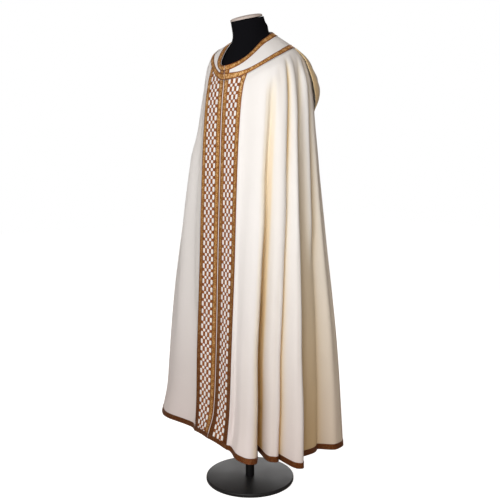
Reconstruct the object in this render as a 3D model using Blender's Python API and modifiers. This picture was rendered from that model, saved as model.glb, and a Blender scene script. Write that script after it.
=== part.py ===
"""A cope (liturgical cloak) hanging from a limbless dress form.

Metres, +Z up. The wearer's front faces -Y and the wearer's left is +X. The origin is the middle of the
stand's underside. The cloak is worked out as a surface: a smooth bell through the rows of SECTIONS, plus
the radial ridges and valleys of LEFT_FOLDS and RIGHT_FOLDS. Each sewn piece is an open sheet of points on
that surface with a Solidify wall; what lies on another piece takes that piece's points, moved out.
"""

import math
from collections import namedtuple

import bpy
import bmesh
import numpy as np

COLLECTION = "cope_on_dress_form"

# Cloth
CLOTH_WALL = 0.0020          # wool cloth with its turned edges
TRIM_WALL = 0.0012           # gallon braid and the woven orphrey band
SEAM_GAP = 0.0003            # clearance between neighbouring pieces
LENGTH = 1.480               # neckline to hem over the shoulder
SEAM_AT = 0.095              # where the yoke ends and the body starts, along the same line
GALLON = 0.020               # width of the gallon braid
HALF_OPENING = 0.0012        # from the middle plane to either front edge
EDGE = 0.0050                # from the middle plane to the inner gallon
BAND = 0.054                 # width of the woven orphrey band

# Distances from the middle plane to the lines down the front that the orphrey's strips share
FRONT_LINES = (HALF_OPENING, EDGE, EDGE + GALLON, EDGE + GALLON + BAND / 2,
               EDGE + GALLON + BAND, EDGE + 2 * GALLON + BAND)

# The bell without its folds: half axes and heights of the ring at each distance along the cloth. A ring
# keeps its side height further round in front as z_focus grows, and at its sides slopes down forward by
# the lean of that side. forward_left and forward_right: how far in front of the ring the orphrey's outer
# line hangs on that side.
Section = namedtuple("Section", "along left right front back front_power back_power "
                                "z_front z_left z_right z_back z_focus lean_left lean_right "
                                "forward_left forward_right")
SECTIONS = (
    Section(.000, .078, .081, .107, .077, 2.0, 2.0, 1.473, 1.561, 1.575, 1.599, 1.0, .044, .021, .000, .000),
    Section(.095, .159, .165, .109, .148, 2.1, 2.1, 1.425, 1.499, 1.549, 1.540, 1.0, .072, .039, .000, .000),
    Section(.150, .190, .196, .115, .181, 2.1, 2.1, 1.370, 1.469, 1.505, 1.508, 1.0, .042, .030, .002, .004),
    Section(.220, .211, .213, .120, .200, 2.2, 2.2, 1.303, 1.404, 1.427, 1.440, 1.0, .012, .010, .004, .008),
    Section(.400, .237, .267, .127, .206, 2.3, 2.2, 1.137, 1.228, 1.232, 1.258, 1.2, .000, .000, .008, .011),
    Section(.750, .275, .357, .138, .236, 2.6, 2.2, 0.815, 0.885, 0.885, 0.905, 1.6, .000, .000, .006, .011),
    Section(1.120, .315, .425, .148, .273, 2.8, 2.2, 0.480, 0.520, 0.525, 0.535, 1.6, .000, .000, .012, .016),
    Section(1.360, .332, .439, .160, .287, 2.93, 2.2, 0.292, 0.282, 0.292, 0.289, 1.5, .000, .000, .010, .009),
    Section(LENGTH, .340, .445, .190, .293, 3.0, 2.2, 0.200, 0.163, 0.175, 0.165, 1.4, .000, .000, -.010, -.018),
)

# Ridges (depth above 0) and valleys (below 0), in order from the front to the middle of the back.
# top and hem are angles round the body, in degrees from the front; depth is reached at the hem, and
# grows from 0 at the distance start with the given power. cuts is the number of steps from the row before.
Fold = namedtuple("Fold", "name top hem depth start power cuts")
LEFT_FOLDS = (
    Fold("front hollow", 54, 35, -0.022, 0.40, 3.0, 1),
    Fold("front ridge, near side", 61, 41, 0.014, 0.30, 1.0, 2),
    Fold("front ridge, far side", 67, 49.5, 0.016, 0.30, 1.0, 1),
    Fold("front ridge, turn", 72, 55.5, -0.022, 0.20, 1.0, 1),
    Fold("first valley", 77, 61.5, -0.170, 0.17, 1.0, 2),
    Fold("second ridge, near side", 83, 67, -0.078, 0.14, 1.6, 2),
    Fold("second ridge, far side", 89, 74.5, -0.078, 0.14, 1.6, 1),
    Fold("second valley", 93, 76.5, -0.125, 0.11, 1.0, 2),
    Fold("third ridge, near side", 97, 80.5, -0.010, 0.11, 1.0, 3),
    Fold("third ridge, far side", 99, 84.5, -0.004, 0.11, 1.0, 2),
    Fold("third valley, near side", 102, 90, -0.085, 0.11, 0.8, 3),
    Fold("third valley, far side", 115, 111, -0.068, 0.14, 0.8, 2),
    Fold("fourth valley", 118, 114, -0.078, 0.14, 0.8, 1),
    Fold("fourth ridge, near side", 123, 118.5, -0.008, 0.14, 1.0, 2),
    Fold("fourth ridge, far side", 131, 127.5, 0.014, 0.20, 1.0, 2),
    Fold("fifth valley", 140, 139, -0.080, 0.16, 0.9, 3),
    Fold("fifth ridge", 149, 149, 0.012, 0.20, 1.0, 3),
    Fold("sixth valley", 159, 159, -0.075, 0.18, 0.9, 3),
    Fold("sixth ridge", 169, 168, 0.010, 0.20, 1.0, 3),
    Fold("beside the middle of the back", 175, 175, -0.012, 0.20, 1.0, 2),
    Fold("middle of the back", 180, 180, -0.012, 0.20, 1.0, 1),
)
RIGHT_FOLDS = (
    Fold("soft front valley, near side", 52, 44, -0.045, 0.20, 4.0, 2),
    Fold("soft front valley, far side", 60, 56, -0.048, 0.20, 0.9, 1),
    Fold("wide front ridge, near side", 70, 66, 0.006, 0.30, 1.0, 2),
    Fold("wide front ridge, far side", 82, 76, 0.008, 0.30, 1.0, 2),
    Fold("side valley", 94, 88, -0.105, 0.14, 0.9, 3),
    Fold("side ridge", 104, 99, 0.000, 0.14, 1.0, 3),
    Fold("second side valley", 114, 110, -0.090, 0.14, 0.9, 3),
    Fold("second side ridge", 123, 121, 0.008, 0.16, 1.0, 3),
    Fold("first back valley", 133, 132, -0.080, 0.16, 0.9, 3),
    Fold("first back ridge", 143, 143, 0.014, 0.20, 1.0, 3),
    Fold("second back valley", 153, 154, -0.078, 0.18, 0.9, 3),
    Fold("second back ridge", 165, 166, 0.010, 0.20, 1.0, 3),
    Fold("beside the middle of the back", 175, 175, -0.012, 0.20, 1.0, 2),
    Fold("middle of the back", 180, 180, -0.012, 0.20, 1.0, 1),
)
FOLDS = {"left": LEFT_FOLDS, "right": RIGHT_FOLDS}
TURN = {"left": 1, "right": -1}    # which way round the body each side runs
FOLD_SWING = 1.7                   # how soon a fold reaches its hem angle

# Distances along the cloth of the body's rows of points
BODY_ROWS = (SEAM_AT + 0.0011, 0.120, 0.150, 0.185, 0.220, 0.300, 0.400, 0.520, 0.640,
             0.760, 0.900, 1.040, 1.180, 1.320, LENGTH - GALLON, LENGTH)
HEM_ROW = len(BODY_ROWS) - 2       # the upper edge of the hem gallon

# Hood: a soft pouch hung under the yoke at the back
HOOD_HALF_ANGLE = 60.0             # from the middle of the back to either side
HOOD_TOP = SEAM_AT + 0.0015
HOOD_LENGTH = 0.235
HOOD_SWELL = 0.028                 # how far its middle stands off the back
HOOD_LIFT = 0.0007                 # clearance where its top edge lies on the body
HOOD_SIDE_LIFT = 0.0060            # clearance of its lower edge
HOOD_COLUMNS, HOOD_ROWS = 20, 8

# Dress form: how far its top lies inside the outer face of the cloth, then its own rings below and above
FORM_CLEARANCE = 0.0010
FRONT_CLEARANCE = 0.004            # more room in front, where the cloth hangs free of the chest
SHOULDER_INSET = ((0.012, 0.0), (0.050, 0.0), (0.080, 0.0), (0.105, 0.0005), (0.150, 0.012),
                  (0.185, 0.022))  # distance along the cloth, extra inset
NECK_BASE_SHARE = 0.85             # the neck's foot against the neckline's ring
NECK_BASE_RISE = -0.001
Ring = namedtuple("Ring", "half_width front back z_front z_side z_back")
NECK_RINGS = (                     # from the top down
    Ring(.0550, .0700, .0400, 1.6180, 1.6318, 1.6455),
    Ring(.0545, .0610, .0500, 1.5720, 1.6020, 1.6325),
    Ring(.0580, .0680, .0620, 1.5430, 1.5810, 1.6190),
)
TORSO_RINGS = (
    Ring(.172, .092, .122, 1.300, 1.300, 1.300),
    Ring(.164, .098, .120, 1.220, 1.220, 1.220),
    Ring(.150, .094, .106, 1.120, 1.120, 1.120),
    Ring(.142, .090, .100, 1.040, 1.040, 1.040),
    Ring(.150, .094, .108, 0.950, 0.950, 0.950),
    Ring(.158, .096, .112, 0.870, 0.870, 0.870),
    Ring(.150, .090, .106, 0.825, 0.825, 0.825),
)
CAP_PROFILE = ((1.0, 0.0), (1.0, 0.004), (0.95, 0.0075), (0.75, 0.0105), (0.40, 0.0122), (0.0, 0.0128))
POLE_RADIUS = 0.016
BASE_RADIUS, BASE_THICKNESS, BASE_BEVEL = 0.160, 0.014, 0.004
FORM_SIDES = 36

MATERIALS = {                      # colour, metallic, roughness
    "cream_wool": ((0.86, 0.81, 0.72, 1), 0.0, 0.80),
    "gold_gallon": ((0.50, 0.27, 0.09, 1), 0.3, 0.50),
    "check_band": ((0.45, 0.28, 0.18, 1), 0.1, 0.60),
    "black_jersey": ((0.010, 0.010, 0.011, 1), 0.0, 0.85),
    "pale_cap": ((0.55, 0.44, 0.38, 1), 0.0, 0.55),
    "dark_steel": ((0.030, 0.030, 0.032, 1), 0.8, 0.40),
}


# ---------------------------------------------------------------- the surface of the cloak

def steady_slopes(stops, values):
    """Slopes of a cubic through the values that never overshoots between two of them."""
    steps = np.diff(stops)
    rises = np.diff(values, axis=0) / steps[:, None]
    slopes = np.zeros_like(values)
    slopes[0], slopes[-1] = rises[0], rises[-1]
    for i in range(1, len(stops) - 1):
        before, after = rises[i - 1], rises[i]
        same_way = before * after > 0
        near, far = 2 * steps[i] + steps[i - 1], steps[i] + 2 * steps[i - 1]
        safe_before, safe_after = np.where(same_way, before, 1), np.where(same_way, after, 1)
        slopes[i] = np.where(same_way, (near + far) / (near / safe_before + far / safe_after), 0)
    return slopes


STOPS = np.array([row.along for row in SECTIONS])
VALUES = np.array([row[1:] for row in SECTIONS])
SLOPES = steady_slopes(STOPS, VALUES)


def section_at(along):
    """The ring at a distance along the cloth, between the rows of SECTIONS."""
    i = int(np.clip(np.searchsorted(STOPS, along) - 1, 0, len(STOPS) - 2))
    step = STOPS[i + 1] - STOPS[i]
    u = (along - STOPS[i]) / step
    row = ((1 + 2 * u) * (1 - u) ** 2 * VALUES[i] + u * (1 - u) ** 2 * step * SLOPES[i]
           + u * u * (3 - 2 * u) * VALUES[i + 1] + u * u * (u - 1) * step * SLOPES[i + 1])
    return Section(along, *row)


def ring_radius(section, side, angle):
    """Radius of the bell at an angle in radians from the front."""
    half_width = section.left if side == "left" else section.right
    facing = math.cos(angle) > 0
    depth = section.front if facing else section.back
    power = section.front_power if facing else section.back_power
    return ((abs(math.sin(angle)) / half_width) ** power
            + (abs(math.cos(angle)) / depth) ** power) ** (-1 / power)


def ring_height(section, side, angle):
    across, forward = abs(math.sin(angle)), math.cos(angle)
    end, focus, fade = (section.z_front, section.z_focus, 2) if forward > 0 else (section.z_back, 1, 4)
    beside, lean = ((section.z_left, section.lean_left) if side == "left"
                    else (section.z_right, section.lean_right))
    return beside + (end - beside) * abs(forward) ** (2 * focus) - lean * across ** fade * forward


def angle_of_line(section, side, distance, out=0.0):
    """The angle at which a line down the front lies this far from the middle plane."""
    angle = 0.0
    for _ in range(6):
        angle = math.asin(min(distance / (ring_radius(section, side, angle) + out), 0.99))
    return angle


def place(section, side, angle, out=0.0):
    """The point at an angle on the ring, moved out from the middle by a distance."""
    radius = ring_radius(section, side, angle) + out
    return np.array((TURN[side] * radius * math.sin(angle), -radius * math.cos(angle),
                     ring_height(section, side, angle)))


def fold_angle(fold, along):
    travelled = min(max((along - SEAM_AT) / (LENGTH - SEAM_AT), 0), 1)
    return math.radians(fold.hem + (fold.top - fold.hem) * (1 - travelled) ** FOLD_SWING)


def fold_depth(fold, along):
    grown = min(max((along - fold.start) / (LENGTH - fold.start), 0), 1)
    return fold.depth * grown ** fold.power


def smooth_step(u):
    return u * u * (3 - 2 * u)


def row_places(side, along):
    """Angle and radial move of each point of a row, from the front edge to the middle of the back."""
    section = section_at(along)
    forward = section.forward_left if side == "left" else section.forward_right
    moves = [forward * line / FRONT_LINES[-1] for line in FRONT_LINES]
    places = [(angle_of_line(section, side, line, move), move) for line, move in zip(FRONT_LINES, moves)]
    for fold in FOLDS[side]:
        last_angle, last_depth = places[-1] if fold is FOLDS[side][0] else (angle, depth)
        angle, depth = fold_angle(fold, along), fold_depth(fold, along)
        for cut in range(1, fold.cuts + 1):
            share = cut / fold.cuts
            places.append((last_angle + (angle - last_angle) * share,
                           last_depth + (depth - last_depth) * smooth_step(share)))
    return places


def cloak_row(side, along):
    """The points of one row of the cloak's outer face."""
    section = section_at(along)
    points = [place(section, side, angle, out) for angle, out in row_places(side, along)]
    points[-1][0] = TURN[side] * SEAM_GAP / 2
    return points


# ---------------------------------------------------------------- sheets of points

def outward_normals(points, side):
    """Unit normals at the points of a sheet: each triangle counts by its angle at the point."""
    rows, columns = points.shape[:2]
    flat = points.reshape(-1, 3)
    normals = np.zeros_like(flat)
    for face in sheet_faces(rows, columns, side):
        for i in range(3):
            here, ahead, behind = (flat[face[(i + step) % 3]] for step in (0, 1, 2))
            first, second = ahead - here, behind - here
            normal = np.cross(first, second)
            area = np.linalg.norm(normal)
            normals[face[i]] += normal / area * math.atan2(area, first @ second)
    normals /= np.linalg.norm(normals, axis=1, keepdims=True)
    return normals.reshape(points.shape)


def inset_edges(points, amount):
    """The sheet with its four edges drawn in along its own rows and columns."""
    drawn = points.copy()
    for edge, inner in ((0, 1), (-1, -2)):
        step = points[:, inner] - points[:, edge]
        drawn[:, edge] = points[:, edge] + step * (amount / np.linalg.norm(step, axis=1))[:, None]
    sheet = drawn.copy()
    for edge, inner in ((0, 1), (-1, -2)):
        step = drawn[inner] - drawn[edge]
        sheet[edge] = drawn[edge] + step * (amount / np.linalg.norm(step, axis=1))[:, None]
    return sheet


def sheet_faces(rows, columns, side, first=0):
    """Triangles of a sheet, facing out, all cut along the same diagonal."""
    faces = []
    for r in range(rows - 1):
        for c in range(columns - 1):
            a, b = first + r * columns + c, first + (r + 1) * columns + c
            for triangle in ((a, b, b + 1), (a, b + 1, a + 1)):
                faces.append(triangle if side == "left" else triangle[::-1])
    return faces


def add_mesh(name, vertices, faces, material):
    mesh = bpy.data.meshes.new(name)
    mesh.from_pydata([tuple(v) for v in vertices], [], faces)
    mesh.validate()
    mesh.shade_smooth()
    mesh.materials.append(material)
    part = bpy.data.objects.new(name, mesh)
    bpy.data.collections[COLLECTION].objects.link(part)
    return part


def add_wall(part, thickness, outward):
    wall = part.modifiers.new("wall", "SOLIDIFY")
    wall.thickness = thickness
    wall.offset = 1 if outward else -1
    wall.use_rim = True


def add_sheet(name, points, side, material, thickness, outward=False):
    rows, columns = points.shape[:2]
    part = add_mesh(name, points.reshape(-1, 3), sheet_faces(rows, columns, side), material)
    add_wall(part, thickness, outward)
    return part


def add_trim(name, panel, side, rows, columns, material):
    """A strip over some rows and columns of a panel's points, moved out."""
    normals = outward_normals(panel, side)
    patch = panel[rows[0]:rows[1] + 1, columns[0]:columns[1] + 1]
    lift = normals[rows[0]:rows[1] + 1, columns[0]:columns[1] + 1] * SEAM_GAP
    add_sheet(name, inset_edges(patch, SEAM_GAP / 2) + lift, side, material, TRIM_WALL, outward=True)


# ---------------------------------------------------------------- pieces of the cope

def make_body(side, material):
    panel = np.array([cloak_row(side, along) for along in BODY_ROWS])
    add_sheet(f"body_{side}", panel, side, material["cream_wool"], CLOTH_WALL)
    return panel


def make_orphrey(side, panel, material):
    """The woven band between two gallons, down the front from the yoke to the hem gallon."""
    rows = (0, HEM_ROW)
    add_trim(f"orphrey_inner_gallon_{side}", panel, side, rows, (1, 2), material["gold_gallon"])
    add_trim(f"orphrey_band_{side}", panel, side, rows, (2, 4), material["check_band"])
    add_trim(f"orphrey_outer_gallon_{side}", panel, side, rows, (4, 5), material["gold_gallon"])


def make_hem_gallon(side, panel, material):
    columns = (0, panel.shape[1] - 1)
    add_trim(f"hem_gallon_{side}", panel, side, (HEM_ROW, HEM_ROW + 1), columns,
             material["gold_gallon"])


def yoke_panel(side):
    """Rows from the neckline to the seam: gallon, plain stretch, gallon, at the body's own angles."""
    top, seam = section_at(0.0), section_at(SEAM_AT)
    columns = []
    for c, (seam_angle, _) in enumerate(row_places(side, SEAM_AT)):
        angles = [angle_of_line(s, side, FRONT_LINES[c]) if c < 3 else seam_angle for s in (top, seam)]
        width = np.linalg.norm(place(seam, side, angles[1]) - place(top, side, angles[0]))
        shares = (0, GALLON / width, 0.5, 1 - GALLON / width, 1)
        columns.append([place(section_at(share * SEAM_AT), side,
                              angles[0] + (angles[1] - angles[0]) * share) for share in shares])
    return np.array(columns).transpose(1, 0, 2)


def joined_yoke():
    """Both halves as one sheet, from the left front edge round the back to the right front edge."""
    left, right = yoke_panel("left"), yoke_panel("right")
    left[:, -1, 0] = 0.0
    return np.concatenate((left, right[:, -2::-1]), axis=1)


def make_yoke(material):
    panel = joined_yoke()
    last = panel.shape[1] - 1
    add_sheet("yoke", panel, "left", material["cream_wool"], CLOTH_WALL)
    gold = material["gold_gallon"]
    add_trim("neckline_gallon", panel, "left", (0, 1), (0, last), gold)
    add_trim("yoke_edge_gallon", panel, "left", (3, 4), (0, last), gold)
    add_trim("yoke_front_gallon_left", panel, "left", (1, 3), (0, 2), gold)
    add_trim("yoke_front_gallon_right", panel, "left", (1, 3), (last - 2, last), gold)


def make_hood(material):
    """A pouch that hangs from the yoke's seam, swells off the back and turns in at its lower edge."""
    rows = []
    for r in range(HOOD_ROWS + 1):
        down = r / HOOD_ROWS
        section = section_at(HOOD_TOP + HOOD_LENGTH * down)
        half_angle = math.radians(HOOD_HALF_ANGLE) * math.sqrt(1 - 0.75 * down ** 2.4)
        row = []
        for c in range(HOOD_COLUMNS + 1):
            across = 2 * c / HOOD_COLUMNS - 1
            side = "left" if across <= 0 else "right"
            swell = math.sin(math.pi * down ** 1.8) * (1 - across ** 4)
            edge = HOOD_LIFT + (HOOD_SIDE_LIFT - HOOD_LIFT) * min(down * 4, 1)
            angle = math.pi - abs(across) * half_angle
            row.append(place(section, side, angle, edge + HOOD_SWELL * swell))
        rows.append(row)
    add_sheet("hood", np.array(rows), "left", material["cream_wool"], CLOTH_WALL, outward=True)


# ---------------------------------------------------------------- the dress form

def form_angles():
    """Each step round the form: which side it is on, and its angle from the front on that side."""
    for i in range(FORM_SIDES):
        angle = 2 * math.pi * i / FORM_SIDES
        yield ("left", angle) if angle < math.pi else ("right", 2 * math.pi - angle)


def ring_points(ring):
    points = []
    for side, angle in form_angles():
        across, forward = math.sin(angle), math.cos(angle)
        depth, end = (ring.front, ring.z_front) if forward > 0 else (ring.back, ring.z_back)
        height = ring.z_side + (end - ring.z_side) * abs(forward)
        points.append((TURN[side] * ring.half_width * across, -depth * forward, height))
    return points


def neck_base_points():
    neckline = section_at(0.0)
    points = np.array([place(neckline, side, angle) for side, angle in form_angles()])
    return points * (NECK_BASE_SHARE, NECK_BASE_SHARE, 1) + (0, 0, NECK_BASE_RISE)


def shoulder_points(along, extra):
    """A ring just inside the cloth, on which it rests."""
    section, ahead, behind = section_at(along), section_at(along + 0.01), section_at(along - 0.01)
    points = []
    for side, angle in form_angles():
        downward = place(ahead, side, angle) - place(behind, side, angle)
        around = place(section, side, angle + 0.01) - place(section, side, angle - 0.01)
        normal = np.cross(downward, around) * TURN[side]
        normal /= np.linalg.norm(normal)
        ease = FORM_CLEARANCE + FRONT_CLEARANCE * max(math.cos(angle), 0)
        points.append(place(section, side, angle) - normal * (CLOTH_WALL + ease + extra))
    return points


def make_torso(material):
    """Neck, shoulders, chest and hips in one smooth body, closed flat above and below."""
    rings = [ring_points(ring) for ring in NECK_RINGS] + [neck_base_points()]
    rings += [shoulder_points(along, extra) for along, extra in SHOULDER_INSET]
    rings += [ring_points(ring) for ring in TORSO_RINGS]
    vertices = [point for ring in rings for point in ring]
    faces = []
    for r in range(len(rings) - 1):
        for i in range(FORM_SIDES):
            j = (i + 1) % FORM_SIDES
            a, b = r * FORM_SIDES, (r + 1) * FORM_SIDES
            faces.append((a + i, b + i, b + j, a + j))
    faces.append(tuple(range(FORM_SIDES)))
    faces.append(tuple(reversed(range(len(vertices) - FORM_SIDES, len(vertices)))))
    add_mesh("form_torso", vertices, faces, material["black_jersey"])


def add_cone(name, radius_below, radius_above, height, place_at, material, bevel=0.0):
    mesh = bpy.data.meshes.new(name)
    shape = bmesh.new()
    bmesh.ops.create_cone(shape, cap_ends=True, segments=32, radius1=radius_below,
                          radius2=radius_above, depth=height)
    shape.to_mesh(mesh)
    shape.free()
    mesh.shade_smooth()
    mesh.set_sharp_from_angle(angle=math.radians(40))
    mesh.materials.append(material)
    part = bpy.data.objects.new(name, mesh)
    part.location = place_at
    bpy.data.collections[COLLECTION].objects.link(part)
    if bevel:
        edge = part.modifiers.new("edge", "BEVEL")
        edge.width = bevel
        edge.segments = 3
    return part


def add_cap(top, material):
    """A low dome on the neck, turned from its profile: share of the neck's radius, height."""
    tilt = math.atan2(top.z_back - top.z_front, top.front + top.back)
    mesh = bpy.data.meshes.new("form_cap")
    profile = [(0.0, 0.0, 0.0)] + [(top.half_width * share, 0.0, height) for share, height in CAP_PROFILE]
    mesh.from_pydata(profile[::-1], [(i, i + 1) for i in range(len(profile) - 1)], [])
    mesh.materials.append(material)
    cap = bpy.data.objects.new("form_cap", mesh)
    bpy.data.collections[COLLECTION].objects.link(cap)
    turn = cap.modifiers.new("turn", "SCREW")
    turn.steps = turn.render_steps = FORM_SIDES
    turn.use_merge_vertices = True
    turn.merge_threshold = 0.0001
    cap.location = (0, (top.back - top.front) / 2, top.z_side + 2 * SEAM_GAP)
    cap.rotation_euler = (tilt, 0, 0)


def make_stand(material):
    """Cap on the neck, pole under the torso, round base."""
    add_cap(NECK_RINGS[0], material["pale_cap"])
    pole_top = TORSO_RINGS[-1].z_side - SEAM_GAP
    pole_bottom = BASE_THICKNESS + SEAM_GAP
    add_cone("form_pole", POLE_RADIUS, POLE_RADIUS, pole_top - pole_bottom,
             (0, 0, (pole_top + pole_bottom) / 2), material["dark_steel"])
    add_cone("form_base", BASE_RADIUS, BASE_RADIUS, BASE_THICKNESS, (0, 0, BASE_THICKNESS / 2),
             material["dark_steel"], BASE_BEVEL)


def make_materials():
    made = {}
    for name, (colour, metallic, roughness) in MATERIALS.items():
        material = bpy.data.materials.new(name)
        material.use_nodes = True
        shader = material.node_tree.nodes["Principled BSDF"]
        shader.inputs["Base Color"].default_value = colour
        shader.inputs["Metallic"].default_value = metallic
        shader.inputs["Roughness"].default_value = roughness
        made[name] = material
    return made


def main():
    for thing in list(bpy.data.objects):
        bpy.data.objects.remove(thing, do_unlink=True)
    collection = bpy.data.collections.new(COLLECTION)
    bpy.context.scene.collection.children.link(collection)
    material = make_materials()
    for side in ("left", "right"):
        panel = make_body(side, material)
        make_orphrey(side, panel, material)
        make_hem_gallon(side, panel, material)
    make_yoke(material)
    make_hood(material)
    make_torso(material)
    make_stand(material)


main()
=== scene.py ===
"""Looks of a cope (liturgical cloak) hanging from a limbless dress form.

The cloak's surface is the same bell with ridges and valleys as the CAD solids, on finer grids and with
softer creases laid on it. Metres, +Z up; the wearer's front faces -Y and the wearer's left is +X.
"""

import math
from collections import namedtuple

import bpy
import numpy as np
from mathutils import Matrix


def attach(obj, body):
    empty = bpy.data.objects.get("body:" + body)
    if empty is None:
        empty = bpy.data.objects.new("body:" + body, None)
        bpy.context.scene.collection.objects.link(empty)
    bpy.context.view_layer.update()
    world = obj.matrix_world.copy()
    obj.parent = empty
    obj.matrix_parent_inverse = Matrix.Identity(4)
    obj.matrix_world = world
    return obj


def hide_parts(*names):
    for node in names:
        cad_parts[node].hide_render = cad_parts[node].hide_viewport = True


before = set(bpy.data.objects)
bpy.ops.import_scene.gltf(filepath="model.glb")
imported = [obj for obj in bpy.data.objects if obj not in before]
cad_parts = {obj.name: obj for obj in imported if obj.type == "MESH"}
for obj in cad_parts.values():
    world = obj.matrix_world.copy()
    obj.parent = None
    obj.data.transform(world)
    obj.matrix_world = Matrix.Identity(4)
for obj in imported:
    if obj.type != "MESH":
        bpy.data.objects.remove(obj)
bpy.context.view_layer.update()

# -------- sizes shared with the solids

LENGTH = 1.48  # neckline to hem over the shoulder
SEAM_AT = 0.095  # where the yoke ends and the body starts, along the same line
SEAM_GAP = 0.0003
GALLON = 0.02
HALF_OPENING = 0.0012
EDGE = 0.005
BAND = 0.054
FRONT_LINES = (HALF_OPENING, EDGE, EDGE + GALLON, EDGE + GALLON + BAND / 2,
               EDGE + GALLON + BAND, EDGE + 2 * GALLON + BAND)
LAST_LINE = len(FRONT_LINES) - 1  # where the folds start

Section = namedtuple("Section", "along left right front back front_power back_power "
                                "z_front z_left z_right z_back z_focus lean_left lean_right "
                                "forward_left forward_right")
SECTIONS = [Section(*row) for row in (
    (0, .078, .081, .107, .077, 2, 2, 1.473, 1.561, 1.575, 1.599, 1, .044, .021, 0, 0),
    (.095, .159, .165, .109, .148, 2.1, 2.1, 1.425, 1.499, 1.549, 1.540, 1, .072, .039, 0, 0),
    (.150, .190, .196, .115, .181, 2.1, 2.1, 1.370, 1.469, 1.505, 1.508, 1, .042, .030, .002, .004),
    (.220, .211, .213, .120, .200, 2.2, 2.2, 1.303, 1.404, 1.427, 1.440, 1, .012, .010, .004, .008),
    (.400, .237, .267, .127, .206, 2.3, 2.2, 1.137, 1.228, 1.232, 1.258, 1.2, 0, 0, .008, .011),
    (.750, .275, .357, .138, .236, 2.6, 2.2, .815, .885, .885, .905, 1.6, 0, 0, .006, .011),
    (1.120, .315, .425, .148, .273, 2.8, 2.2, .480, .520, .525, .535, 1.6, 0, 0, .012, .016),
    (1.360, .332, .439, .160, .287, 2.93, 2.2, .292, .282, .292, .289, 1.5, 0, 0, .010, .009),
    (LENGTH, .340, .445, .190, .293, 3, 2.2, .200, .163, .175, .165, 1.4, 0, 0, -.010, -.018),
)]

# shade is how much painted shade the wool gets along the fold, from 0 to 1
Fold = namedtuple("Fold", "name top hem depth start power shade")


def rows_of(kind, **sides):
    return {side: [kind(*row) for row in rows] for side, rows in sides.items()}


FOLDS = rows_of(Fold, left=(
    ("front hollow", 54, 35, -.022, .40, 3, 0),
    ("front ridge, near", 61, 41, .014, .30, 1, 0),
    ("front ridge, far", 67, 49.5, .016, .30, 1, 0),
    ("front ridge, turn", 72, 56.2, -.022, .20, 1, .45),
    ("first valley", 77, 62.2, -.170, .185, 1, 1),
    ("first valley, far", 77.9, 64.4, -.138, .185, 1.1, .95),
    ("second ridge, near", 83, 66, -.078, .14, 1.6, .10),
    ("second ridge, far", 89, 74.5, -.078, .14, 1.6, .08),
    ("second valley", 93, 76.5, -.115, .11, 1, .95),
    ("third ridge, near", 97, 80.5, -.010, .11, 1, .04),
    ("third ridge, far", 99, 84.5, -.004, .11, 1, .08),
    ("third valley, near", 102, 90, -.085, .11, .8, .80),
    ("third valley, far", 115, 111, -.068, .14, .8, .75),
    ("fourth valley", 118, 114, -.078, .14, .8, .70),
    ("fourth ridge, near", 123, 118.5, -.008, .14, 1, .45),
    ("fourth ridge, far", 131, 127.5, .014, .20, 1, .45),
    ("fifth valley", 140, 139, -.080, .16, .9, .75),
    ("fifth ridge", 149, 149, .012, .20, 1, .20),
    ("sixth valley", 159, 159, -.075, .18, .9, .70),
    ("sixth ridge", 169, 168, .010, .20, 1, .20),
    ("beside the middle", 175, 175, -.012, .20, 1, .35),
    ("middle", 180, 180, -.012, .20, 1, .35),
), right=(
    ("soft front valley, near", 52, 44, -.045, .20, 4, .05),
    ("soft front valley, far", 60, 56, -.048, .20, .9, .06),
    ("wide front ridge, near", 70, 66, .006, .30, 1, 0),
    ("wide front ridge, far", 82, 76, .008, .30, 1, 0),
    ("side valley", 94, 88, -.105, .14, .9, .75),
    ("side ridge", 104, 99, 0, .14, 1, .15),
    ("second side valley", 114, 110, -.090, .14, .9, .75),
    ("second side ridge", 123, 121, .008, .16, 1, .18),
    ("first back valley", 133, 132, -.080, .16, .9, .70),
    ("first back ridge", 143, 143, .014, .20, 1, .20),
    ("second back valley", 153, 154, -.078, .18, .9, .70),
    ("second back ridge", 165, 166, .010, .20, 1, .20),
    ("beside the middle", 175, 175, -.012, .20, 1, .35),
    ("middle", 180, 180, -.012, .20, 1, .35),
))
TURN = {"left": 1, "right": -1}
FOLD_SWING = 1.7

HOOD_HALF_ANGLE = 60
HOOD_TOP = SEAM_AT + 0.0015
HOOD_LENGTH = 0.235
HOOD_SWELL, HOOD_SAG = 0.028, 1.8  # how far it stands off, and how low its fullest part lies
HOOD_TAPER, HOOD_ROUNDNESS = 0.75, 2.4  # how much narrower it gets, and how late on its way down
HOOD_LIFT, HOOD_SIDE_LIFT = 0.0007, 0.006

# -------- sizes of the looks

WOOL_WALL, BRAID_WALL = 0.0018, 0.001
BODY_TOP = SEAM_AT + 0.0011  # the body's first row, just clear of the yoke
BODY_ROW_STEP = 0.0085  # between rows of points down the body
BODY_COLUMN_STEP = 0.0065  # between columns of points, at the hem
INNER_REACH = 0.4  # where the inner gallons start, between the first two of FRONT_LINES
FLAT_NECK = 0.3  # from the centre of the flat cloth's arcs to its neckline
STITCH_INSET = 0.1  # share of a gallon's width between its edge and the line of stitches
STITCH_PITCH, STITCH_LENGTH = 0.0042, 0.0029
STITCH_HALF_WIDTH, STITCH_HEIGHT = 0.0003, 0.00028
TRIM_ROW_STEP, BAND_ROW_STEP = 0.005, 0.0021
YOKE_ROWS, GALLON_COLUMNS, BAND_COLUMNS = 25, 9, 41  # points across each
GOLD_SHADE_AT_FLOOR, GOLD_SHADE_FROM = 0.95, 1.44  # painted shade: how much the gold is darkened at the floor, and the height the darkening starts from
RIGHT_INNER_GOLD_SHADE = 0.25  # the same for the right inner gallon
CREASE_FADE = 0.03  # creases die out over this distance beside the orphrey
CREASE_RISE = 0.1  # they reach their depth over this distance down the cloth
CREASE_FALL, CREASE_TAIL = 0.22, 0.02  # and lose it over this one, which ends this far past their last
SHADE_POWER = 0.5  # how soon the shade in a fold comes on its way down
SHADE_NARROWING = 4.0  # and how closely it keeps to the fold's line
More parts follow.
